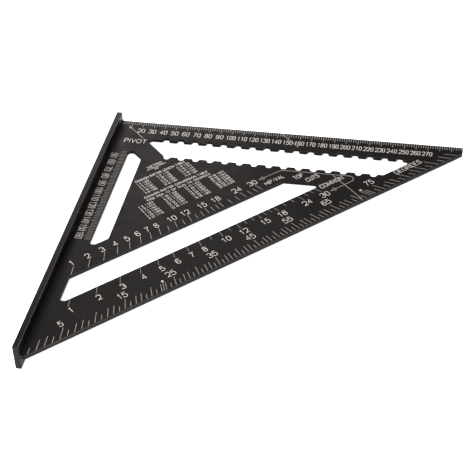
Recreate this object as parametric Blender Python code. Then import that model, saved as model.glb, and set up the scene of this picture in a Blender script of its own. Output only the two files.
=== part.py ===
"""Rafter square, 300 mm metric size: a triangular blade set into a T-bar fence.

Units are metres, +Z is up. The blade lies flat, parallel to XY, with its marked face up.
Blade coordinates below: u runs along the ruler edge away from the fence's guide face,
v runs along the fence from the pivot line of the scales, which lies just inside the ruler edge,
and w is height above the blade's marked face.
"""

import math

import bmesh
import bpy
from mathutils import Matrix, Vector

# Blade
BLADE_THICKNESS = 0.0030
RULER_EDGE_V = -0.0012        # the ruler edge, just beyond the scales' pivot line at v = 0
HYPOTENUSE_SUM = 0.3071       # u + v along the hypotenuse
TIP_U = 0.2993                # the far tip is cut square at this distance
TIP_TOP_RADIUS = 0.0015
TIP_BOTTOM_RADIUS = 0.0020
HEEL_RADIUS = 0.0006

# Blade root: a concave flare, a foot let into the fence's face, then a tongue in its groove
ROOT_FLARE = 0.0018
ROOT_STEPS = 5
FOOT_DEPTH = 0.0003
TONGUE_THICKNESS = 0.0020
TONGUE_DEPTH = 0.0019
TONGUE_INSET = 0.0010         # the tongue stops this far short of the fence's ends
SEAT_GAP = 0.0003

# Fence, a flat bar standing on edge along the blade
FENCE_LENGTH = 0.3041
FENCE_END_V = RULER_EDGE_V + FENCE_LENGTH
FENCE_THICKNESS = 0.0047
FENCE_ABOVE = 0.0088          # above the marked face
FENCE_BELOW = 0.0104          # below the underside
FENCE_EDGE_RADIUS = 0.0005

# Slot along the fence
FENCE_SLOT_NEAR_U = 0.0159
FENCE_SLOT_FAR_U = 0.0298
FENCE_SLOT_TOP_DIFF = -0.0212     # u - v along its angled upper end
FENCE_SLOT_BOTTOM_SUM = 0.1907    # u + v along its angled lower end

# Long slot along the hypotenuse
LONG_SLOT_NEAR_SUM = 0.2219
LONG_SLOT_FAR_SUM = 0.2553
LONG_SLOT_LEFT_U = 0.0114
LONG_SLOT_TOP_V = 0.0658

# Notched slot along the ruler edge
RULER_SLOT_TOP_V = 0.0227
RULER_SLOT_BOTTOM_V = 0.0463
RULER_SLOT_LEFT_DIFF = 0.0028
RULER_SLOT_RIGHT_SUM = 0.2833

# Scribing notches, half an inch apart, the two rows staggered by half a pitch
NOTCH_PITCH = 0.0127
NOTCH_DEPTH = 0.0033
NOTCH_MOUTH = 0.0066
NOTCH_FLOOR = 0.0032
NOTCH_RADIUS = 0.0008
UPPER_NOTCH_FIRST = 0.04475
UPPER_NOTCH_COUNT = 17
LOWER_NOTCH_FIRST = 0.0511
LOWER_NOTCH_COUNT = 15

# Corner radii of the slots
SHARP_CORNER_RADIUS = 0.0035
WIDE_CORNER_RADIUS = 0.0018
ARC_STEP = math.radians(18)

CUT_MARGIN = 0.0020           # how far a cutter stands out of the blade


def clear_scene():
    for obj in list(bpy.data.objects):
        bpy.data.objects.remove(obj, do_unlink=True)


def make_material(name, colour, roughness, metallic):
    material = bpy.data.materials.new(name)
    material.use_nodes = True
    shader = material.node_tree.nodes["Principled BSDF"]
    shader.inputs["Base Color"].default_value = (*colour, 1.0)
    shader.inputs["Roughness"].default_value = roughness
    shader.inputs["Metallic"].default_value = metallic
    return material


def rounded(corners):
    """The closed outline through corners (u, v, radius), each corner turned into an arc."""
    outline = []
    for i, (u, v, radius) in enumerate(corners):
        corner = Vector((u, v))
        before = Vector(corners[i - 1][:2]) - corner
        after = Vector(corners[(i + 1) % len(corners)][:2]) - corner
        if radius == 0:
            outline.append(corner)
            continue
        before.normalize()
        after.normalize()
        half = before.angle(after) / 2
        reach = radius / math.tan(half)
        centre = corner + (before + after).normalized() * radius / math.sin(half)
        start = corner + before * reach - centre
        sweep = start.angle_signed(corner + after * reach - centre)
        steps = max(1, math.ceil(abs(sweep) / ARC_STEP))
        for k in range(steps + 1):
            outline.append(centre + Matrix.Rotation(-sweep * k / steps, 2) @ start)
    return outline


def place(u, v, w):
    """A point of the blade's own coordinates in the part's frame: the origin is under the
    middle of the whole square, at the fence's lower edge."""
    middle_u = (TIP_U - FENCE_THICKNESS) / 2
    middle_v = RULER_EDGE_V + FENCE_LENGTH / 2
    return Vector((u - middle_u, middle_v - v, w + BLADE_THICKNESS + FENCE_BELOW))


def new_object(name, mesh, material):
    obj = bpy.data.objects.new(name, mesh)
    bpy.context.scene.collection.objects.link(obj)
    if material:
        mesh.materials.append(material)
    return obj


def finish_mesh(bm, name):
    bmesh.ops.recalc_face_normals(bm, faces=bm.faces)
    mesh = bpy.data.meshes.new(name)
    bm.to_mesh(mesh)
    bm.free()
    return mesh


def slab(outline, w_low, w_high):
    """A bmesh of an outline in the blade's plane, extruded from w_low to w_high."""
    bm = bmesh.new()
    face = bm.faces.new([bm.verts.new(place(p.x, p.y, w_low)) for p in outline])
    lifted = bmesh.ops.extrude_face_region(bm, geom=[face])["geom"]
    rise = Vector((0, 0, w_high - w_low))
    bmesh.ops.translate(bm, verts=[g for g in lifted if isinstance(g, bmesh.types.BMVert)], vec=rise)
    return bm


def blade_outline():
    return rounded([
        (ROOT_FLARE, RULER_EDGE_V, 0),
        (TIP_U, RULER_EDGE_V, TIP_TOP_RADIUS),
        (TIP_U, HYPOTENUSE_SUM - TIP_U, TIP_BOTTOM_RADIUS),
        (HYPOTENUSE_SUM - FENCE_END_V, FENCE_END_V, HEEL_RADIUS),
        (ROOT_FLARE, FENCE_END_V, 0),
    ])


def root_profile():
    """Steps (u, half thickness, end inset) from the flat blade along its flare, foot and tongue."""
    half = BLADE_THICKNESS / 2
    steps = []
    for k in range(1, ROOT_STEPS + 1):
        turn = math.pi / 2 * k / ROOT_STEPS
        steps.append((ROOT_FLARE * (1 - math.sin(turn)), half + ROOT_FLARE * (1 - math.cos(turn)), 0))
    steps.append((-FOOT_DEPTH, half + ROOT_FLARE, 0))
    steps.append((-FOOT_DEPTH, TONGUE_THICKNESS / 2, TONGUE_INSET))
    steps.append((-TONGUE_DEPTH, TONGUE_THICKNESS / 2, TONGUE_INSET))
    return steps


def grow_root(bm):
    """Extrudes the blade's fence-side wall into its flare and tongue."""
    wall_x = place(ROOT_FLARE, 0, 0).x
    middle_z = place(0, 0, -BLADE_THICKNESS / 2).z
    wall = min(bm.faces, key=lambda f: max(abs(v.co.x - wall_x) for v in f.verts))
    for u, half, inset in root_profile():
        wall = bmesh.ops.extrude_discrete_faces(bm, faces=[wall])["faces"][0]
        for vert in wall.verts:
            vert.co.x = place(u, 0, 0).x
            vert.co.y = math.copysign(FENCE_LENGTH / 2 - inset, vert.co.y)
            vert.co.z = middle_z + math.copysign(half, vert.co.z - middle_z)


def notch(middle, edge_v, outward):
    """Corners of one trapezoid notch in a slot side at edge_v, cut outward, in rising u."""
    floor_v = edge_v + outward * NOTCH_DEPTH
    return [
        (middle - NOTCH_MOUTH / 2, edge_v, NOTCH_RADIUS),
        (middle - NOTCH_FLOOR / 2, floor_v, NOTCH_RADIUS),
        (middle + NOTCH_FLOOR / 2, floor_v, NOTCH_RADIUS),
        (middle + NOTCH_MOUTH / 2, edge_v, NOTCH_RADIUS),
    ]


def ruler_slot():
    top, bottom = RULER_SLOT_TOP_V, RULER_SLOT_BOTTOM_V
    corners = [(top + RULER_SLOT_LEFT_DIFF, top, SHARP_CORNER_RADIUS)]
    for k in range(UPPER_NOTCH_COUNT):
        corners += notch(UPPER_NOTCH_FIRST + k * NOTCH_PITCH, top, -1)
    corners.append((RULER_SLOT_RIGHT_SUM - top, top, SHARP_CORNER_RADIUS))
    corners.append((RULER_SLOT_RIGHT_SUM - bottom, bottom, WIDE_CORNER_RADIUS))
    for k in reversed(range(LOWER_NOTCH_COUNT)):
        corners += reversed(notch(LOWER_NOTCH_FIRST + k * NOTCH_PITCH, bottom, 1))
    # The first lower notch opens straight off the slot's angled end
    last_u = corners.pop()[0]
    corners.append((last_u, last_u - RULER_SLOT_LEFT_DIFF, NOTCH_RADIUS))
    return rounded(corners)


def fence_slot():
    near, far = FENCE_SLOT_NEAR_U, FENCE_SLOT_FAR_U
    return rounded([
        (near, near - FENCE_SLOT_TOP_DIFF, SHARP_CORNER_RADIUS),
        (far, far - FENCE_SLOT_TOP_DIFF, WIDE_CORNER_RADIUS),
        (far, FENCE_SLOT_BOTTOM_SUM - far, WIDE_CORNER_RADIUS),
        (near, FENCE_SLOT_BOTTOM_SUM - near, SHARP_CORNER_RADIUS),
    ])


def long_slot():
    left, top = LONG_SLOT_LEFT_U, LONG_SLOT_TOP_V
    return rounded([
        (left, LONG_SLOT_NEAR_SUM - left, WIDE_CORNER_RADIUS),
        (LONG_SLOT_NEAR_SUM - top, top, WIDE_CORNER_RADIUS),
        (LONG_SLOT_FAR_SUM - top, top, SHARP_CORNER_RADIUS),
        (left, LONG_SLOT_FAR_SUM - left, SHARP_CORNER_RADIUS),
    ])


def cut_slot(blade, name, outline):
    bm = slab(outline, -BLADE_THICKNESS - CUT_MARGIN, CUT_MARGIN)
    cutter = new_object(name, finish_mesh(bm, name), None)
    cutter.hide_render = True
    cutter.display_type = "WIRE"
    cut = blade.modifiers.new(name, "BOOLEAN")
    cut.operation = "DIFFERENCE"
    cut.object = cutter


def build_blade():
    bm = slab(blade_outline(), -BLADE_THICKNESS, 0)
    grow_root(bm)
    material = make_material("blade_black", (0.022, 0.022, 0.024), 0.45, 0.0)
    blade = new_object("blade", finish_mesh(bm, "blade"), material)
    cut_slot(blade, "cut_fence_slot", fence_slot())
    cut_slot(blade, "cut_ruler_slot", ruler_slot())
    cut_slot(blade, "cut_long_slot", long_slot())


def fence_section():
    """The fence's section as (u, w) corners, with a shallow channel for the blade's foot and
    a groove inside it for the tongue."""
    top, bottom = FENCE_ABOVE, -BLADE_THICKNESS - FENCE_BELOW
    middle = -BLADE_THICKNESS / 2
    channel = BLADE_THICKNESS / 2 + ROOT_FLARE + SEAT_GAP
    channel_floor = -FOOT_DEPTH - SEAT_GAP
    groove = TONGUE_THICKNESS / 2 + SEAT_GAP
    groove_floor = -TONGUE_DEPTH - SEAT_GAP
    return rounded([
        (-FENCE_THICKNESS, bottom, FENCE_EDGE_RADIUS),
        (0, bottom, FENCE_EDGE_RADIUS),
        (0, middle - channel, 0),
        (channel_floor, middle - channel, 0),
        (channel_floor, middle - groove, 0),
        (groove_floor, middle - groove, 0),
        (groove_floor, middle + groove, 0),
        (channel_floor, middle + groove, 0),
        (channel_floor, middle + channel, 0),
        (0, middle + channel, 0),
        (0, top, FENCE_EDGE_RADIUS),
        (-FENCE_THICKNESS, top, FENCE_EDGE_RADIUS),
    ])


def build_fence():
    bm = bmesh.new()
    section = bm.faces.new([bm.verts.new(place(p.x, RULER_EDGE_V, p.y)) for p in fence_section()])
    pulled = bmesh.ops.extrude_face_region(bm, geom=[section])["geom"]
    along = Vector((0, -FENCE_LENGTH, 0))
    bmesh.ops.translate(bm, verts=[g for g in pulled if isinstance(g, bmesh.types.BMVert)], vec=along)
    material = make_material("fence_black", (0.020, 0.020, 0.022), 0.45, 0.0)
    new_object("fence", finish_mesh(bm, "fence"), material)


def main():
    clear_scene()
    build_blade()
    build_fence()


main()
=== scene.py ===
"""Looks of the rafter square: a black coated blade and fence, white printed scales.

Blade coordinates follow the square itself. u runs along the ruler edge away from the fence's
guide face, v runs along the fence from the pivot line, which lies just inside the ruler
edge, and w is height above the marked face. Beside the hypotenuse, s runs along it and h is
the distance in from it.
"""

import math

import bmesh
import bpy
from mathutils import Matrix, Vector
from mathutils.geometry import tessellate_polygon


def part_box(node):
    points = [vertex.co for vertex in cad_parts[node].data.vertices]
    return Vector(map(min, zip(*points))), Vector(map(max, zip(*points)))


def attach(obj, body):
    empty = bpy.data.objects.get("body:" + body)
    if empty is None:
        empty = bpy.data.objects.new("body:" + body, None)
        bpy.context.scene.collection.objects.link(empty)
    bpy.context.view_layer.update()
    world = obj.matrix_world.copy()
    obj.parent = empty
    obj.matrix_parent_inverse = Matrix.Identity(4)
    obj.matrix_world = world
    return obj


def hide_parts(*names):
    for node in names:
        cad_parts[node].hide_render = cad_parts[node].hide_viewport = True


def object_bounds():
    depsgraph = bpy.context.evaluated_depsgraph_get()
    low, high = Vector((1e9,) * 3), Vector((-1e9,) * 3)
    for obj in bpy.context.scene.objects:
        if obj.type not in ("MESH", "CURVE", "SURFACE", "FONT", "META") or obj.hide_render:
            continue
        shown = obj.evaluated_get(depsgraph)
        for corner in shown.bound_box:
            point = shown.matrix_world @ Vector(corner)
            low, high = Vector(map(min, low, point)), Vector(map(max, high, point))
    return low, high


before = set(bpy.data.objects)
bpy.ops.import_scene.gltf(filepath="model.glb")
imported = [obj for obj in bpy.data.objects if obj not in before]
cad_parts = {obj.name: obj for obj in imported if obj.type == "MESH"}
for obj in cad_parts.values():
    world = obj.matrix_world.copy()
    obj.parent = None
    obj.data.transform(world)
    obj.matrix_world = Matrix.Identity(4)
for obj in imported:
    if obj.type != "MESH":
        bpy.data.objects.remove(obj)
cad_low, cad_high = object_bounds()
fence_low, fence_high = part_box("fence")
blade_low, blade_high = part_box("blade")

ROOT2 = math.sqrt(2)
MM = 0.001

# ---------------------------------------------------------------- blade and fence sizes
BLADE_THICKNESS = 3.0 * MM
RULER_EDGE_V = -1.2 * MM
HYPOTENUSE_SUM = 307.1 * MM
TIP_U = blade_high.x - fence_high.x
TIP_RADII = (1.5 * MM, 2.0 * MM)
HEEL_RADIUS = 0.6 * MM
FENCE_END_V = RULER_EDGE_V + fence_high.y - fence_low.y
FENCE_THICKNESS = fence_high.x - fence_low.x
MARKED_Z = (blade_low.z + blade_high.z) / 2 + BLADE_THICKNESS / 2
FENCE_TOP_W = fence_high.z - MARKED_Z
FENCE_BOTTOM_W = fence_low.z - MARKED_Z
FENCE_EDGE_RADIUS = 0.5 * MM
FENCE_FOOT_RADIUS = 0.9 * MM
EDGE_RADIUS = 0.16 * MM
CHAMFER = 1.05 * MM
FLARE_RADIUS = 1.8 * MM
FLARE_OVERLAP = 0.5 * MM
FLARE_STEPS = 10
FLARE_END_INSET = EDGE_RADIUS * 0.4
ARC_STEP = math.radians(6)
STEP_SLACK = 0.01             # how much of a step an arc may run over before it gets another
LEAST_RADIUS = 0.02 * MM      # what a corner keeps when an inset uses up its radius
SMOOTH_BELOW = math.radians(18)

# Slot outlines as straight sides, then the corner radii
FENCE_SLOT_U = (15.9 * MM, 29.8 * MM)
FENCE_SLOT_TOP_DIFF = -21.2 * MM
FENCE_SLOT_BOTTOM_SUM = 190.7 * MM
LONG_SLOT_SUMS = (221.9 * MM, 255.3 * MM)
LONG_SLOT_LEFT_U = 11.4 * MM
LONG_SLOT_TOP_V = 65.8 * MM
RULER_SLOT_V = (22.7 * MM, 46.3 * MM)
RULER_SLOT_LEFT_DIFF = 2.8 * MM
RULER_SLOT_RIGHT_SUM = 283.3 * MM
SHARP_CORNER = 3.5 * MM
WIDE_CORNER = 1.8 * MM
NOTCH_PITCH = 12.7 * MM
NOTCH_DEPTH = 3.3 * MM
NOTCH_MOUTH = 6.6 * MM
NOTCH_FLOOR = 3.2 * MM
NOTCH_RADIUS = 0.8 * MM
UPPER_NOTCHES = (44.75 * MM, 17)
LOWER_NOTCHES = (51.1 * MM, 15)

# ---------------------------------------------------------------- printed marks
INK = 0.03 * MM
RULE_STEP_MM = 2
RULE_MAJOR_MM = 10
RULE_LAST_MM = 298
RULE_WIDTH = 0.50 * MM
FENCE_RULE_WIDTH = 0.28 * MM
DEGREE_WIDTH = 0.45 * MM
COMMON_WIDTH = 0.33 * MM
HIP_WIDTH = 0.44 * MM
LINE_WIDTH = 0.62 * MM

# Each scale: where its ticks begin and end, then the place and size of its figures. Pairs are
# for minor and major ticks, or for numbers of two and of three figures.
RULE_FIGURES_MM = range(20, 271, 10)
RULE_REACH = (3.6 * MM, 6.0 * MM)
RULE_FIGURE_V = 11.7 * MM
RULE_FIGURE_HEIGHT = 5.8 * MM
RULE_FIGURE_WIDTHS = (6.4 * MM, 8.5 * MM)
FENCE_RULE_MM = range(44, 165, RULE_STEP_MM)
FENCE_FIGURES_MM = range(50, 161, 10)
FENCE_RULE_STARTS = (10.9 * MM, 9.2 * MM)
FENCE_RULE_END = 15.5 * MM
FENCE_FIGURE_U = 5.4 * MM
FENCE_FIGURE_HEIGHT = 6.0 * MM
FENCE_FIGURE_WIDTHS = (6.3 * MM, 8.4 * MM)
FENCE_FIGURE_WEIGHT = 0.055
DEGREE_TICKS = range(1, 89)
DEGREE_FIGURES = range(5, 80, 10)
DEGREE_START_H = 1.35 * MM
DEGREE_REACH = (6.2 * MM, 9.4 * MM, 11.0 * MM)
DEGREE_HALF_REACH = 10.8 * MM
DEGREE_LABEL_H = 11.2 * MM    # the point of a tick that its figure is centred on
DEGREE_FIGURE_H = 15.8 * MM
DEGREE_FIGURE_HEIGHT = 6.1 * MM
DEGREE_FIGURE_WEIGHT = 0.078
DOTTED_DEGREES = (22.5, 72.5)
DOT_H = 11.6 * MM
DOT_RADIUS = 0.75 * MM
DOT_LINE = 0.7 * MM
DOT_SIDES = 16
ARROW_LENGTH = 4.2 * MM
ARROW_HALF_WIDTH = 1.7 * MM
ARROW_LINE = 0.55 * MM
TABLE_WEIGHT = 0.12
TABLE_ARC = math.radians(45)

# Rafter scales and their guide lines. The words are (text, s, h, height, width) in MM.
RUN_COMMON = 12.0
RUN_HIP = 12.0 * ROOT2
RAFTER_NUMBERS = (1, 2, 3, 4, 5, 6, 7, 8, 10, 12, 15, 18, 24, 30)
RAFTER_TICKS = tuple(range(1, 19)) + tuple(range(20, 31, 2))
RAFTER_FIGURE_HEIGHT = 6.0 * MM
RAFTER_WORDS = (
    ("HIP-VAL", 58.3, 65.9, 4.6, 18.8),
    ("TOP", 77, 57.9, 5.0, 8.8),
    ("CUTS", 85.3, 49.4, 5.2, 12.3),
    ("COMMON", 94.4, 34.9, 5.3, 22.8),
)
GUIDE_V = 51.5 * MM
GUIDE_RADII = (10 * MM, 4.2 * MM)
GUIDE_TIPS = ((48.3 * MM, 73.8 * MM), (87.3 * MM, 25.8 * MM))
PIVOT_TIP = (7.3 * MM, 5.8 * MM)
PIVOT_LINE_END = (24.3 * MM, 22.5 * MM)
CROSSING_U = 143.0 * MM
CROSSING_ENDS = (-0.8 * MM, 17.5 * MM)
CROSSING_TOP_H = 1.4 * MM

ARC_COARSE = math.radians(22.5)
LETTER_GAP = 0.13             # between letters, as a share of their height
MITRE_LIMIT = 0.4             # keeps the outer corner of a sharp bend short
LAYERS = 3                    # overlapping strokes sit at slightly different heights
LAYER_STEP = 0.003 * MM


def at(u, v, w=0.0):
    return Vector((fence_high.x + u, fence_high.y + RULER_EDGE_V - v, MARKED_Z + w))


def beside(s, h):
    """(u, v) of a point s along the hypotenuse and h in from it."""
    total, difference = HYPOTENUSE_SUM - h * ROOT2, s * ROOT2
    return Vector(((total + difference) / 2, (total - difference) / 2))


def on_ray(angle, h):
    """(u, v) where the ray from the pivot at this angle from the fence is h from the hypotenuse."""
    reach = (HYPOTENUSE_SUM - h * ROOT2) / (math.sin(angle) + math.cos(angle))
    return Vector((reach * math.sin(angle), reach * math.cos(angle)))


# ---------------------------------------------------------------- mesh helpers
def inset(corners, distances):
    """Corners (u, v, radius) with each side moved into the shape by its own distance."""
    count = len(corners)
    points = [Vector(c[:2]) for c in corners]
    area = sum(points[i - 1].cross(points[i]) for i in range(count))
    turn = 1 if area > 0 else -1
    sides = []
    for i in range(count):
        along = (points[(i + 1) % count] - points[i]).normalized()
        inward = Vector((-along.y, along.x)) * turn
        sides.append((points[i] + inward * distances[i], along))
    moved = []
    for i in range(count):
        (p, a), (q, b) = sides[i - 1], sides[i]
        bend = a.cross(b)
        corner = p + a * ((q - p).cross(b) / bend)
        mean = (distances[i - 1] + distances[i]) / 2
        radius = corners[i][2]
        if radius:
            radius = max(radius - mean * math.copysign(1, bend * turn), LEAST_RADIUS)
        moved.append((corner.x, corner.y, radius))
    return moved


def rounded(corners, arc=ARC_STEP, closed=True):
    """The outline through corners (u, v, radius), each corner turned into an arc."""
    outline = []
    for i, (u, v, radius) in enumerate(corners):
        corner = Vector((u, v))
        if radius == 0 or not closed and i in (0, len(corners) - 1):
            outline.append(corner)
            continue
        before = (Vector(corners[i - 1][:2]) - corner).normalized()
        after = (Vector(corners[(i + 1) % len(corners)][:2]) - corner).normalized()
        half = before.angle(after) / 2
        reach = radius / math.tan(half)
        centre = corner + (before + after).normalized() * radius / math.sin(half)
        start = corner + before * reach - centre
        sweep = start.angle_signed(corner + after * reach - centre)
        steps = max(2, math.ceil(abs(sweep) / arc - STEP_SLACK))
        for k in range(steps + 1):
            outline.append(centre + Matrix.Rotation(-sweep * k / steps, 2) @ start)
    return outline


def skin(name, levels):
    """A closed mesh through a stack of levels. Each level is the same list of loops of points,
    the outer loop first and then any holes; the first and last levels are filled."""
    bm = bmesh.new()
    rings = [[[bm.verts.new(p) for p in loop] for loop in level] for level in levels]
    for lower, upper in zip(rings, rings[1:]):
        for a, b in zip(lower, upper):
            for k in range(len(a)):
                bm.faces.new((a[k - 1], a[k], b[k], b[k - 1]))
    for cap in (rings[0], rings[-1]):
        verts = [v for loop in cap for v in loop]
        for triangle in tessellate_polygon([[v.co for v in loop] for loop in cap]):
            bm.faces.new([verts[i] for i in triangle])
    bmesh.ops.recalc_face_normals(bm, faces=bm.faces)
    return to_object(bm, name)


def to_object(bm, name):
    mesh = bpy.data.meshes.new(name)
    bm.to_mesh(mesh)
    bm.free()
    mesh.shade_smooth()
    mesh.set_sharp_from_angle(angle=SMOOTH_BELOW)
    obj = bpy.data.objects.new(name, mesh)
    bpy.context.scene.collection.objects.link(obj)
    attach(obj, "root")
    return obj


# ---------------------------------------------------------------- materials
NOISE_LOW, NOISE_HIGH = 0.3, 0.7      # where nearly all of a noise texture's values lie


class Nodes:
    """A Principled material with small helpers for its procedural inputs."""

    def __init__(self, name):
        self.material = bpy.data.materials.new(name)
        self.material.use_nodes = True
        self.tree = self.material.node_tree
        self.shader = self.tree.nodes["Principled BSDF"]
        self.place = self.add("ShaderNodeTexCoord").outputs["Object"]

    def add(self, kind, **values):
        node = self.tree.nodes.new(kind)
        for key, value in values.items():
            node.inputs[key].default_value = value
        return node

    def stretched(self, scale):
        mapping = self.add("ShaderNodeMapping", Scale=scale)
        self.tree.links.new(self.place, mapping.inputs["Vector"])
        return mapping.outputs["Vector"]

    def noise(self, scale, detail=3.0, source=None):
        node = self.add("ShaderNodeTexNoise", Scale=scale, Detail=detail)
        self.tree.links.new(source or self.place, node.inputs["Vector"])
        return node.outputs["Fac"]

    def ramp(self, fac, stops):
        node = self.add("ShaderNodeValToRGB")
        ramp = node.color_ramp
        for element, (position, colour) in zip(ramp.elements, (stops[0], stops[-1])):
            element.position = position
            element.color = (*colour, 1)
        for position, colour in stops[1:-1]:
            ramp.elements.new(position).color = (*colour, 1)
        self.tree.links.new(fac, node.inputs["Fac"])
        return node.outputs["Color"]

    def spread(self, fac, low, high):
        limits = {"From Min": NOISE_LOW, "From Max": NOISE_HIGH, "To Min": low, "To Max": high}
        node = self.add("ShaderNodeMapRange", **limits)
        self.tree.links.new(fac, node.inputs["Value"])
        return node.outputs["Result"]

    def bump(self, height, strength, distance):
        node = self.add("ShaderNodeBump", Strength=strength, Distance=distance)
        self.tree.links.new(height, node.inputs["Height"])
        self.tree.links.new(node.outputs["Normal"], self.shader.inputs["Normal"])

    def feed(self, socket, source):
        self.tree.links.new(source, self.shader.inputs[socket])


def coated_metal(name, dark, light, roughness, gloss=0.15):
    """Satin black coating: faint mottling, a fine cast grain and uneven gloss."""
    m = Nodes(name)
    cloud = m.noise(26.0, 4.0)
    grain = m.noise(2600.0, 2.0)
    m.feed("Base Color", m.ramp(cloud, [(0.30, dark), (0.72, light)]))
    m.feed("Roughness", m.spread(m.noise(90.0, 5.0), roughness - 0.05, roughness + 0.06))
    m.bump(grain, 0.25, 0.04 * MM)
    m.shader.inputs["Specular IOR Level"].default_value = gloss
    return m.material


def rubbed_edge(name, dark, light):
    """Painted highlight on a chamfer or rounded edge: a lighter copy of the coating, streaked along
    the edge.
    """
    m = Nodes(name)
    streak = m.noise(900.0, 4.0, m.stretched((0.05, 0.05, 1.0)))
    m.feed("Base Color", m.ramp(streak, [(0.30, dark), (0.70, light)]))
    m.feed("Roughness", m.spread(streak, 0.36, 0.50))
    m.bump(m.noise(1800.0), 0.15, 0.03 * MM)
    return m.material


def printed_ink(name, tone, dulled):
    """Matt white print, slightly uneven where it is thin."""
    m = Nodes(name)
    wear = m.noise(420.0, 4.0)
    m.feed("Base Color", m.ramp(wear, [(0.30, dulled), (0.52, tone)]))
    m.feed("Roughness", m.spread(m.noise(1500.0), 0.52, 0.68))
    m.bump(m.noise(2200.0), 0.2, 0.02 * MM)
    return m.material


BLADE_COAT = coated_metal("blade_coat", (0.0100, 0.0096, 0.0093), (0.0140, 0.0135, 0.0130), 0.46)
# A darker, duller copy of the blade coat: painted shade on the blade's upright walls
WALL_PAINTED_SHADE = coated_metal("wall_painted_shade", (0.0060, 0.0058, 0.0056), (0.0085, 0.0082, 0.0079), 0.55,
                         gloss=0.08)
# A lighter copy of the same coating, painted light on the fence
FENCE_PAINTED_LIGHT = coated_metal("fence_painted_light", (0.0125, 0.0119, 0.0115), (0.0200, 0.0188, 0.0180), 0.44)
# Lighter streaked copies of the coating: painted highlights on the hypotenuse chamfer and on the
# fence's rounded top edges
CHAMFER_PAINTED_HIGHLIGHT = rubbed_edge("chamfer_painted_highlight", (0.026, 0.0255, 0.025), (0.050, 0.049, 0.047))
EDGE_PAINTED_HIGHLIGHT = rubbed_edge("edge_painted_highlight", (0.085, 0.082, 0.080), (0.150, 0.145, 0.140))
INK_WHITE = printed_ink("ink_white", (0.95, 0.95, 0.94), (0.80, 0.80, 0.79))
INK_GREY = printed_ink("ink_line", (0.42, 0.42, 0.41), (0.30, 0.30, 0.29))

# Material slots after the main coat, for painted highlight and painted shade, and the limits on a
# face's normal that choose them
HIGHLIGHT_SLOT, SHADE_SLOT = 1, 2
UPRIGHT, TILTED, FACING = 0.1, 0.3, 0.9


# ---------------------------------------------------------------- blade
def blade_corners():
    return [
        (FLARE_RADIUS, RULER_EDGE_V, 0),
        (TIP_U, RULER_EDGE_V, TIP_RADII[0]),
        (TIP_U, HYPOTENUSE_SUM - TIP_U, TIP_RADII[1]),
        (HYPOTENUSE_SUM - FENCE_END_V, FENCE_END_V, HEEL_RADIUS),
        (FLARE_RADIUS, FENCE_END_V, 0),
    ]


def fence_slot():
    near, far = FENCE_SLOT_U
    return [
        (near, near - FENCE_SLOT_TOP_DIFF, SHARP_CORNER),
        (far, far - FENCE_SLOT_TOP_DIFF, WIDE_CORNER),
        (far, FENCE_SLOT_BOTTOM_SUM - far, WIDE_CORNER),
        (near, FENCE_SLOT_BOTTOM_SUM - near, SHARP_CORNER),
    ]


def long_slot():
    near, far = LONG_SLOT_SUMS
    left, top = LONG_SLOT_LEFT_U, LONG_SLOT_TOP_V
    return [
        (left, near - left, WIDE_CORNER),
        (near - top, top, WIDE_CORNER),
        (far - top, top, SHARP_CORNER),
        (left, far - left, SHARP_CORNER),
    ]


def notch(middle, edge_v, outward):
    floor_v = edge_v + outward * NOTCH_DEPTH
    return [
        (middle - NOTCH_MOUTH / 2, edge_v, NOTCH_RADIUS),
        (middle - NOTCH_FLOOR / 2, floor_v, NOTCH_RADIUS),
        (middle + NOTCH_FLOOR / 2, floor_v, NOTCH_RADIUS),
        (middle + NOTCH_MOUTH / 2, edge_v, NOTCH_RADIUS),
    ]


def ruler_slot():
    top, bottom = RULER_SLOT_V
    corners = [(top + RULER_SLOT_LEFT_DIFF, top, SHARP_CORNER)]
    for k in range(UPPER_NOTCHES[1]):
        corners += notch(UPPER_NOTCHES[0] + k * NOTCH_PITCH, top, -1)
    corners.append((RULER_SLOT_RIGHT_SUM - top, top, SHARP_CORNER))
    corners.append((RULER_SLOT_RIGHT_SUM - bottom, bottom, WIDE_CORNER))
    for k in reversed(range(LOWER_NOTCHES[1])):
        corners += reversed(notch(LOWER_NOTCHES[0] + k * NOTCH_PITCH, bottom, 1))
    last_u = corners.pop()[0]
    corners.append((last_u, last_u - RULER_SLOT_LEFT_DIFF, NOTCH_RADIUS))
    return corners


# (depth below the face, inset) where a small edge radius starts, is half way round and ends
EDGE_ROUNDING = [(EDGE_RADIUS * (1 - math.cos(a)), EDGE_RADIUS * (1 - math.sin(a)))
                 for a in (0, math.pi / 4, math.pi / 2)]


def make_blade():
    holes = [fence_slot(), ruler_slot(), long_slot()]
    levels = []

    def level(w, edge):
        # Sides in order: ruler edge, tip, hypotenuse, heel, and the side that meets the flare
        chamfer = max(CHAMFER + w, 0)
        sides = [edge, edge, chamfer or edge, edge, 0]
        loops = [rounded(inset(blade_corners(), sides))]
        loops += [rounded(inset(hole, [-edge] * len(hole))) for hole in holes]
        levels.append([[at(p.x, p.y, w) for p in loop] for loop in loops])

    for depth, edge in EDGE_ROUNDING:
        level(depth - BLADE_THICKNESS, edge)
    level(-CHAMFER, 0)
    for depth, edge in reversed(EDGE_ROUNDING):
        level(-depth, edge)
    blade = skin("blade_plate", levels)
    for coat in (BLADE_COAT, CHAMFER_PAINTED_HIGHLIGHT, WALL_PAINTED_SHADE):
        blade.data.materials.append(coat)
    # The chamfer of the hypotenuse gets a painted highlight and the wall below it keeps the main
    # coat; the other upright walls get painted shade
    outward = Vector((1, -1, 0)).normalized()
    for face in blade.data.polygons:
        if abs(face.normal.z) < UPRIGHT and face.normal.dot(outward) < FACING:
            face.material_index = SHADE_SLOT
        elif face.normal.z > TILTED and face.normal.dot(outward) > TILTED:
            face.material_index = HIGHLIGHT_SLOT
    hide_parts("blade")


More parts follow.
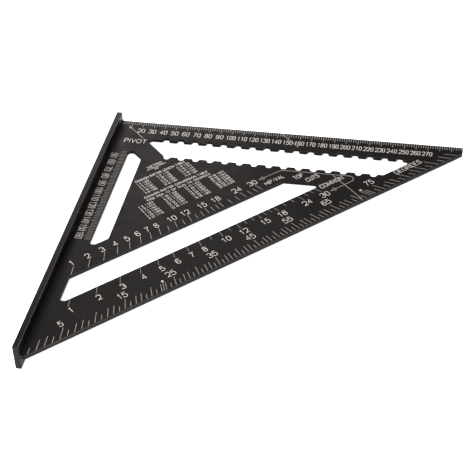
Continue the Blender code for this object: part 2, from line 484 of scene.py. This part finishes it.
def make_flare():
    """The concave fillets, above and below, where the blade runs into the fence."""
    section = [Vector((FLARE_RADIUS, -BLADE_THICKNESS)), Vector((FLARE_RADIUS, 0))]
    for k in range(1, FLARE_STEPS + 1):
        a = math.pi / 2 * k / FLARE_STEPS
        section.append(Vector((FLARE_RADIUS * (1 - math.sin(a)), FLARE_RADIUS * (1 - math.cos(a)))))
    section.append(Vector((-FLARE_OVERLAP, FLARE_RADIUS)))
    mirrored = [Vector((p.x, -BLADE_THICKNESS - p.y)) for p in reversed(section[2:])]
    section += mirrored
    ends = (RULER_EDGE_V + FLARE_END_INSET, FENCE_END_V - FLARE_END_INSET)
    flare = skin("blade_root", [[[at(p.x, v, p.y) for p in section]] for v in ends])
    flare.data.materials.append(BLADE_COAT)


def make_fence():
    section = [
        (-FENCE_THICKNESS, FENCE_BOTTOM_W, FENCE_FOOT_RADIUS),
        (0, FENCE_BOTTOM_W, FENCE_FOOT_RADIUS),
        (0, FENCE_TOP_W, FENCE_EDGE_RADIUS),
        (-FENCE_THICKNESS, FENCE_TOP_W, FENCE_EDGE_RADIUS),
    ]
    stations = [(RULER_EDGE_V + depth, edge) for depth, edge in EDGE_ROUNDING]
    stations += [(FENCE_END_V - depth, edge) for depth, edge in reversed(EDGE_ROUNDING)]
    levels = []
    for v, depth in stations:
        outline = rounded(inset(section, [depth] * 4))
        levels.append([[at(p.x, v, p.y) for p in outline]])
    fence = skin("fence_bar", levels)
    for coat in (FENCE_PAINTED_LIGHT, EDGE_PAINTED_HIGHLIGHT, BLADE_COAT):
        fence.data.materials.append(coat)
    # Painted highlight on the rounded top edges, and the darker blade coat on the two end faces as
    # painted shade
    for face in fence.data.polygons:
        if abs(face.normal.y) > FACING:
            face.material_index = SHADE_SLOT
        elif face.normal.z > TILTED and abs(face.normal.x) > TILTED:
            face.material_index = HIGHLIGHT_SLOT
    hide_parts("fence")


# ---------------------------------------------------------------- lettering
def ring(left, right, low, high, radius):
    """A closed rounded loop, its first corner repeated to mark it as closed."""
    corners = [(left, low, radius), (right, low, radius),
               (right, high, radius), (left, high, radius)]
    return corners + corners[:1]


# Each character: its width as a share of its height, then its strokes as corners
# (x, y, radius) in a unit box, radii as shares of the width.
GLYPHS = {
    "0": (0.60, ring(0, 1, 0, 1, 0.5)),
    "1": (0.60, [(0.15, 0.76, 0), (0.40, 0.84, 0.1), (0.60, 1, 0), (0.60, 0, 0)]),
    "2": (0.60, [(0, 0.74, 0), (0, 1, 0.48), (1, 1, 0.48), (1, 0.50, 0.3), (0, 0, 0), (1, 0, 0)]),
    "3": (0.60, [(0, 0.80, 0), (0, 1, 0.42), (0.95, 1, 0.42), (0.95, 0.53, 0.38), (0.4, 0.53, 0)],
          [(0.4, 0.53, 0), (1, 0.53, 0.42), (1, 0, 0.45), (0, 0, 0.42), (0, 0.21, 0)]),
    "4": (0.62, [(0.74, 0, 0), (0.74, 1, 0), (0, 0.30, 0), (1, 0.30, 0)]),
    "5": (0.60, [(0.92, 1, 0), (0.16, 1, 0), (0.06, 0.50, 0)],
          [(0.06, 0.50, 0), (0.22, 0.64, 0.2), (1, 0.64, 0.45), (1, 0, 0.45),
           (0, 0, 0.42), (0, 0.2, 0)]),
    "6": (0.60, [(0.95, 0.84, 0), (0.95, 1, 0.42), (0, 1, 0.5), (0, 0.3, 0)],
          ring(0, 1, 0, 0.60, 0.48)),
    "7": (0.60, [(0, 1, 0), (1, 1, 0), (0.52, 0.5, 0.6), (0.34, 0, 0)]),
    "8": (0.60, ring(0, 1, 0, 0.54, 0.45), ring(0.06, 0.94, 0.54, 1, 0.42)),
    "9": (0.60, [(0.05, 0.16, 0), (0.05, 0, 0.42), (1, 0, 0.5), (1, 0.7, 0)],
          ring(0, 1, 0.40, 1, 0.48)),
    "A": (0.74, [(0, 0, 0), (0.5, 1, 0), (1, 0, 0)], [(0.18, 0.33, 0), (0.82, 0.33, 0)]),
    "B": (0.66, [(0, 0.53, 0), (0.9, 0.53, 0.35), (0.9, 1, 0.35), (0, 1, 0), (0, 0, 0),
                 (1, 0, 0.38), (1, 0.53, 0.38), (0.6, 0.53, 0)]),
    "C": (0.72, [(1, 0.72, 0), (1, 1, 0.5), (0, 1, 0.5), (0, 0, 0.5), (1, 0, 0.5), (1, 0.28, 0)]),
    "D": (0.70, [(0, 0, 0), (1, 0, 0.48), (1, 1, 0.48), (0, 1, 0), (0, 0, 0)]),
    "E": (0.62, [(1, 0, 0), (0, 0, 0), (0, 1, 0), (1, 1, 0)], [(0, 0.52, 0), (0.9, 0.52, 0)]),
    "F": (0.58, [(0, 0, 0), (0, 1, 0), (1, 1, 0)], [(0, 0.50, 0), (0.88, 0.50, 0)]),
    "G": (0.76, [(1, 0.76, 0), (1, 1, 0.48), (0, 1, 0.5), (0, 0, 0.5), (1, 0, 0.3),
                 (1, 0.45, 0), (0.55, 0.45, 0)]),
    "H": (0.70, [(0, 0, 0), (0, 1, 0)], [(1, 0, 0), (1, 1, 0)], [(0, 0.52, 0), (1, 0.52, 0)]),
    "I": (0.16, [(0.5, 0, 0), (0.5, 1, 0)]),
    "L": (0.56, [(0, 1, 0), (0, 0, 0), (1, 0, 0)]),
    "M": (0.86, [(0, 0, 0), (0, 1, 0), (0.5, 0.15, 0), (1, 1, 0), (1, 0, 0)]),
    "N": (0.72, [(0, 0, 0), (0, 1, 0), (1, 0, 0), (1, 1, 0)]),
    "O": (0.80, ring(0, 1, 0, 1, 0.5)),
    "P": (0.64, [(0, 0, 0), (0, 1, 0), (1, 1, 0.42), (1, 0.47, 0.42), (0, 0.47, 0)]),
    "R": (0.70, [(0, 0, 0), (0, 1, 0), (0.95, 1, 0.4), (0.95, 0.5, 0.4), (0, 0.5, 0)],
          [(0.55, 0.5, 0), (1, 0, 0)]),
    "S": (0.66, [(1, 0.78, 0), (1, 1, 0.42), (0, 1, 0.42), (0, 0.53, 0.4), (1, 0.53, 0.4),
                 (1, 0, 0.42), (0, 0, 0.42), (0, 0.22, 0)]),
    "T": (0.66, [(0, 1, 0), (1, 1, 0)], [(0.5, 0, 0), (0.5, 1, 0)]),
    "U": (0.70, [(0, 1, 0), (0, 0, 0.5), (1, 0, 0.5), (1, 1, 0)]),
    "V": (0.72, [(0, 1, 0), (0.5, 0, 0), (1, 1, 0)]),
    "-": (0.40, [(0.05, 0.45, 0), (0.95, 0.45, 0)]),
    ".": (0.16, [(0.5, 0, 0), (0.5, 0.08, 0)]),
    " ": (0.40,),
}


NEARLY_HALF = 0.499           # so that the arcs at both ends of a side never meet


def soft_path(corners, closed, arc):
    """The stroke through corners (x, y, radius), each radius kept to what its sides allow."""
    kept = []
    for i, (x, y, radius) in enumerate(corners):
        corner = Vector((x, y))
        before = Vector(corners[i - 1][:2]) - corner
        after = Vector(corners[(i + 1) % len(corners)][:2]) - corner
        if radius:
            half = before.angle(after) / 2
            radius = min(radius, NEARLY_HALF * min(before.length, after.length) * math.tan(half))
        kept.append((x, y, radius))
    return rounded(kept, arc, closed)


# ---------------------------------------------------------------- printed marks
class Print:
    """One printed scale: bars, lines and lettering gathered in a single thin mesh."""

    def __init__(self, name):
        self.name = name
        self.bm = bmesh.new()
        self.layer = 0

    def bar(self, start, end, width):
        """A straight line between two (u, v) points."""
        start, end = Vector(start), Vector(end)
        side = Vector((start.y - end.y, end.x - start.x)).normalized() * width / 2
        self.patch((start + side, end + side, end - side, start - side))

    def patch(self, corners):
        """A filled area with these (u, v) corners."""
        top = [self.bm.verts.new(at(p.x, p.y, INK)) for p in corners]
        foot = [self.bm.verts.new(at(p.x, p.y, 0)) for p in corners]
        self.bm.faces.new(top)
        for k in range(len(top)):
            self.bm.faces.new((top[k], top[k - 1], foot[k - 1], foot[k]))

    def line(self, outline, width, closed=False):
        """A line of one width through (u, v) points, mitred at each bend."""
        points = [Vector(p) for p in outline]
        count = len(points)
        spans = range(count if closed else count - 1)
        left, right = [], []
        for i, p in enumerate(points):
            ahead = points[(i + 1) % count] if closed or i < count - 1 else None
            behind = points[i - 1] if closed or i > 0 else None
            a = (p - behind).normalized() if behind is not None else (ahead - p).normalized()
            b = (ahead - p).normalized() if ahead is not None else a
            mid = (a + b).normalized()
            side = Vector((-mid.y, mid.x)) * width / 2 / max(mid.dot(a), MITRE_LIMIT)
            left.append(p + side)
            right.append(p - side)
        self.layer = (self.layer + 1) % LAYERS
        top = INK + self.layer * LAYER_STEP
        rims = [[self.bm.verts.new(at(p.x, p.y, w)) for p in rim]
                for w in (top, 0) for rim in (left, right)]
        top_left, top_right, low_left, low_right = rims
        for i in spans:
            j = (i + 1) % count
            self.bm.faces.new((top_left[i], top_right[i], top_right[j], top_left[j]))
            self.bm.faces.new((low_left[i], top_left[i], top_left[j], low_left[j]))
            self.bm.faces.new((top_right[i], low_right[i], low_right[j], top_right[j]))

    def text(self, words, centre, turn, height, width=None, weight=0.086, arc=ARC_COARSE):
        """Plain capitals or figures centred on a (u, v) point, read along the given turn."""
        spans = [GLYPHS[c][0] * height for c in words]
        gap = LETTER_GAP * height
        total = sum(spans) + gap * (len(words) - 1)
        stretch = (width or total) / total
        stroke = weight * height
        across = Matrix.Rotation(turn, 2)
        left = -total * stretch / 2
        for character, span in zip(words, spans):
            wide = span * stretch - stroke
            for path in GLYPHS[character][1:]:
                corners = []
                for x, y, r in path:
                    spot = Vector((left + stroke / 2 + x * wide, (y - 0.5) * (height - stroke)))
                    corners.append((*spot, r * wide))
                closed = corners[0] == corners[-1]
                outline = soft_path(corners[:-1] if closed else corners, closed, arc)
                turned = [across @ p for p in outline]
                self.line([(centre[0] + p.x, centre[1] - p.y) for p in turned], stroke, closed)
            left += (span + gap) * stretch

    def done(self, material):
        bmesh.ops.recalc_face_normals(self.bm, faces=self.bm.faces)
        obj = to_object(self.bm, self.name)
        obj.data.materials.append(material)


ALONG_EDGE = 0.0
ALONG_FENCE = -math.pi / 2
ALONG_HYPOTENUSE = math.pi / 4


def figure_width(n, widths):
    """The first width is for numbers of two figures and the second for three."""
    return widths[len(str(n)) - 2]


def ruler_scale():
    ticks = Print("ruler_ticks")
    minor, major = RULE_REACH
    for n in range(RULE_STEP_MM, RULE_LAST_MM + 1, RULE_STEP_MM):
        reach = major if n % RULE_MAJOR_MM == 0 else minor
        ticks.bar((n * MM, RULER_EDGE_V + EDGE_RADIUS), (n * MM, reach), RULE_WIDTH)
    ticks.done(INK_GREY)
    figures = Print("ruler_figures")
    for n in RULE_FIGURES_MM:
        figures.text(str(n), (n * MM, RULE_FIGURE_V), ALONG_EDGE, RULE_FIGURE_HEIGHT,
                     figure_width(n, RULE_FIGURE_WIDTHS))
    figures.done(INK_WHITE)


def fence_scale():
    ticks = Print("fence_ticks")
    minor, major = FENCE_RULE_STARTS
    for n in FENCE_RULE_MM:
        start = major if n % RULE_MAJOR_MM == 0 else minor
        ticks.bar((start, n * MM), (FENCE_RULE_END, n * MM), FENCE_RULE_WIDTH)
    ticks.done(INK_GREY)
    figures = Print("fence_figures")
    for n in FENCE_FIGURES_MM:
        figures.text(str(n), (FENCE_FIGURE_U, n * MM), ALONG_FENCE, FENCE_FIGURE_HEIGHT,
                     figure_width(n, FENCE_FIGURE_WIDTHS), FENCE_FIGURE_WEIGHT)
    figures.done(INK_WHITE)


def degree_scale():
    ticks = Print("degree_ticks")
    short, medium, long = DEGREE_REACH
    for n in DEGREE_TICKS:
        top = long if n % 5 == 0 else medium if n % 5 in (2, 3) else short
        ray = math.radians(n)
        ticks.bar(on_ray(ray, DEGREE_START_H), on_ray(ray, top), DEGREE_WIDTH)
    dots = []
    for n in DOTTED_DEGREES:
        ray = math.radians(n)
        ticks.bar(on_ray(ray, DEGREE_START_H), on_ray(ray, DEGREE_HALF_REACH), DEGREE_WIDTH)
        dots.append(on_ray(ray, DOT_H))
    ticks.done(INK_GREY)
    figures = Print("degree_figures")
    for n in DEGREE_FIGURES:
        end = on_ray(math.radians(n), DEGREE_LABEL_H)
        s = (end.x - end.y) / ROOT2
        figures.text(str(n), beside(s, DEGREE_FIGURE_H), ALONG_HYPOTENUSE, DEGREE_FIGURE_HEIGHT,
                     weight=DEGREE_FIGURE_WEIGHT)
    for dot in dots:
        rim = [dot + Matrix.Rotation(math.tau * k / DOT_SIDES, 2) @ Vector((DOT_RADIUS, 0))
               for k in range(DOT_SIDES)]
        figures.line(rim, DOT_LINE, closed=True)
    figures.text("DEGREES", beside(158 * MM, 13.4 * MM), ALONG_HYPOTENUSE, 5.4 * MM, 27.5 * MM)
    figures.done(INK_WHITE)


def rafter_scale(name, run, edge_h, label_end_h, short_end_h, figure_h, line_width):
    """Ticks for a rise over this run, from a slot edge, with figures beyond the long ones."""
    ticks, figures = Print(name + "_ticks"), Print(name + "_figures")
    for n in RAFTER_TICKS:
        ray = math.atan(n / run)
        numbered = n in RAFTER_NUMBERS
        end = on_ray(ray, label_end_h if numbered else short_end_h)
        ticks.bar(on_ray(ray, edge_h), end, line_width)
        if numbered:
            s = (end.x - end.y) / ROOT2
            figures.text(str(n), beside(s, figure_h), ALONG_HYPOTENUSE, RAFTER_FIGURE_HEIGHT)
    ticks.done(INK_GREY)
    figures.done(INK_WHITE)


def arrowhead(target, tip, toward, filled=False):
    """A triangular arrowhead with its point at tip, pointing along toward."""
    toward = Vector(toward).normalized()
    side = Vector((-toward.y, toward.x))
    back = Vector(tip) - toward * ARROW_LENGTH
    corners = (Vector(tip), back + side * ARROW_HALF_WIDTH, back - side * ARROW_HALF_WIDTH)
    if filled:
        target.patch(corners)
    else:
        target.line(corners, ARROW_LINE, closed=True)
    return back


def words_and_arrows():
    words = Print("words")
    words.text("PIVOT", (18.5 * MM, 27.3 * MM), ALONG_EDGE, 5.8 * MM, 19.8 * MM)
    for text, s, h, height, width in RAFTER_WORDS:
        words.text(text, beside(s * MM, h * MM), ALONG_HYPOTENUSE, height * MM, width * MM)
    words.done(INK_WHITE)
    lines = Print("guide_lines")
    outward = Vector((-1, 1))
    end, start = (arrowhead(lines, beside(*tip), outward) for tip in GUIDE_TIPS)
    upper, lower = (HYPOTENUSE_SUM - h * ROOT2 - GUIDE_V for _, h in GUIDE_TIPS)
    route = rounded([(end.x, end.y, 0), (upper, GUIDE_V, GUIDE_RADII[0]),
                     (lower, GUIDE_V, GUIDE_RADII[1]), (start.x, start.y, 0)])
    lines.line(route, LINE_WIDTH)
    base = arrowhead(lines, PIVOT_TIP, (-1, -1), filled=True)
    lines.line([base, PIVOT_LINE_END], LINE_WIDTH)
    lines.line([(CROSSING_U + reach, reach) for reach in CROSSING_ENDS], LINE_WIDTH)
    lines.line([(CROSSING_U + GUIDE_V, GUIDE_V), beside(CROSSING_U / ROOT2, CROSSING_TOP_H)],
               LINE_WIDTH)
    lines.done(INK_GREY)


def tables():
    """Small rise and angle tables, worked out for the common rafter scale."""
    marks = Print("tables")

    def row(text, s, h, height, width):
        marks.text(text, beside(s * MM, h * MM), ALONG_HYPOTENUSE, height * MM,
                   width * MM, weight=TABLE_WEIGHT, arc=TABLE_ARC)

    def entries(columns, rows, top_h, pitch, height, width):
        for column, s in enumerate(columns):
            for line in range(rows):
                rise = column * rows + line + 1
                angle = math.degrees(math.atan(rise / RUN_COMMON))
                ratio = math.hypot(rise, RUN_COMMON) / RUN_COMMON
                row(f"{rise:2d} {angle:.0f} {ratio:.3f}", s, top_h - pitch * line, height, width)

    row("METRIC", -11.0, 144.4, 3.2, 14.5)
    marks.line([beside(-20.5 * MM, 141.6 * MM), beside(-1.5 * MM, 141.6 * MM)], 0.5 * MM)
    row("MM", -12.3, 139.5, 2.2, 3.6)
    row("COMMON RAFTER LENGTH TABLE", -12.5, 133.4, 3.0, 49)
    row("COMMON RAFTER CONVERSION TABLE", -11.0, 110.2, 2.8, 62)
    row("RISE PER 12 OF RUN TO DEGREES", -11.0, 105.8, 2.6, 62)
    entries((-32.5, -13.0, 7.5), 5, 129.2, 3.4, 2.3, 12.5)
    entries((-46.5, -23.5, -0.8, 23.3), 6, 101.8, 3.4, 2.4, 15)
    marks.done(INK_WHITE)


# ---------------------------------------------------------------- surroundings
FLOOR_GAP = 0.1 * MM
FLOOR_HALF_SIZE = 6.0
FLOOR_GLOW = 0.95
WORLD_STRENGTH = 0.13


def make_floor():
    bm = bmesh.new()
    bmesh.ops.create_grid(bm, x_segments=8, y_segments=8, size=FLOOR_HALF_SIZE)
    bmesh.ops.translate(bm, verts=bm.verts, vec=(0, 0, cad_low.z - FLOOR_GAP))
    mesh = bpy.data.meshes.new("floor")
    bm.to_mesh(mesh)
    bm.free()
    floor = bpy.data.objects.new("floor", mesh)
    bpy.context.scene.collection.objects.link(floor)
    m = Nodes("floor_white")
    tones = [(0.3, (0.93, 0.93, 0.93)), (0.7, (0.95, 0.95, 0.95))]
    m.feed("Base Color", m.ramp(m.noise(3.0), tones))
    m.feed("Roughness", m.spread(m.noise(40.0), 0.85, 0.95))
    m.shader.inputs["Specular IOR Level"].default_value = 0.1
    m.shader.inputs["Emission Color"].default_value = (1, 1, 1, 1)
    m.shader.inputs["Emission Strength"].default_value = FLOOR_GLOW
    mesh.materials.append(m.material)


STUDIO_WHITE = (1.0, 0.93, 0.90)
LIGHTS = (      # name, place, aim, size, watts
    ("overhead", (-0.5, -0.5, 1.6), (0, 0, 0), (1.6, 1.6), 27),
    ("front", (-0.4, -1.6, 1.1), (0, 0, 0), (1.2, 1.2), 12),
    ("behind", (-0.30, 0.617, 0.345), (-0.147, 0.151, 0.013), (0.30, 0.20), 0.75),
)


def area_light(name, place, aim, size, watts):
    light = bpy.data.lights.new(name, "AREA")
    light.shape = "RECTANGLE"
    light.size, light.size_y = size
    light.energy = watts
    light.color = STUDIO_WHITE
    obj = bpy.data.objects.new(name, light)
    obj.location = place
    obj.rotation_euler = (Vector(aim) - Vector(place)).to_track_quat("-Z", "Y").to_euler()
    obj.visible_camera = False
    bpy.context.scene.collection.objects.link(obj)


def make_lights():
    world = bpy.data.worlds.new("studio")
    bpy.context.scene.world = world
    world.use_nodes = True
    background = world.node_tree.nodes["Background"]
    background.inputs["Color"].default_value = (*STUDIO_WHITE, 1)
    background.inputs["Strength"].default_value = WORLD_STRENGTH
    for settings in LIGHTS:
        area_light(*settings)


CAMERA_TURN = (-13.2237, 39.2105, -3.1263)      # azimuth, elevation and roll in degrees
CAMERA_PLACE = (0.20099, -0.91442, 0.78547)
CAMERA_LENS = 116.145
SENSOR_WIDTH = 36


def make_camera():
    azimuth, elevation, roll = (math.radians(a) for a in CAMERA_TURN)
    ahead = Vector((math.sin(azimuth) * math.cos(elevation),
                    math.cos(azimuth) * math.cos(elevation), -math.sin(elevation)))
    data = bpy.data.cameras.new("camera")
    data.sensor_width = SENSOR_WIDTH
    data.lens = CAMERA_LENS
    camera = bpy.data.objects.new("camera", data)
    camera.location = CAMERA_PLACE
    level = ahead.to_track_quat("-Z", "Y")
    camera.rotation_euler = (level.to_matrix() @ Matrix.Rotation(roll, 3, "Z")).to_euler()
    bpy.context.scene.collection.objects.link(camera)
    bpy.context.scene.camera = camera
    bpy.context.scene.view_settings.view_transform = "Standard"


make_blade()
make_flare()
make_fence()
ruler_scale()
fence_scale()
degree_scale()
rafter_scale("common", RUN_COMMON, edge_h=36.5 * MM, label_end_h=29.4 * MM,
             short_end_h=31.6 * MM, figure_h=24.8 * MM, line_width=COMMON_WIDTH)
rafter_scale("hip_val", RUN_HIP, edge_h=61.0 * MM, label_end_h=69.2 * MM,
             short_end_h=67.2 * MM, figure_h=73.4 * MM, line_width=HIP_WIDTH)
words_and_arrows()
tables()
make_floor()
make_lights()
make_camera()
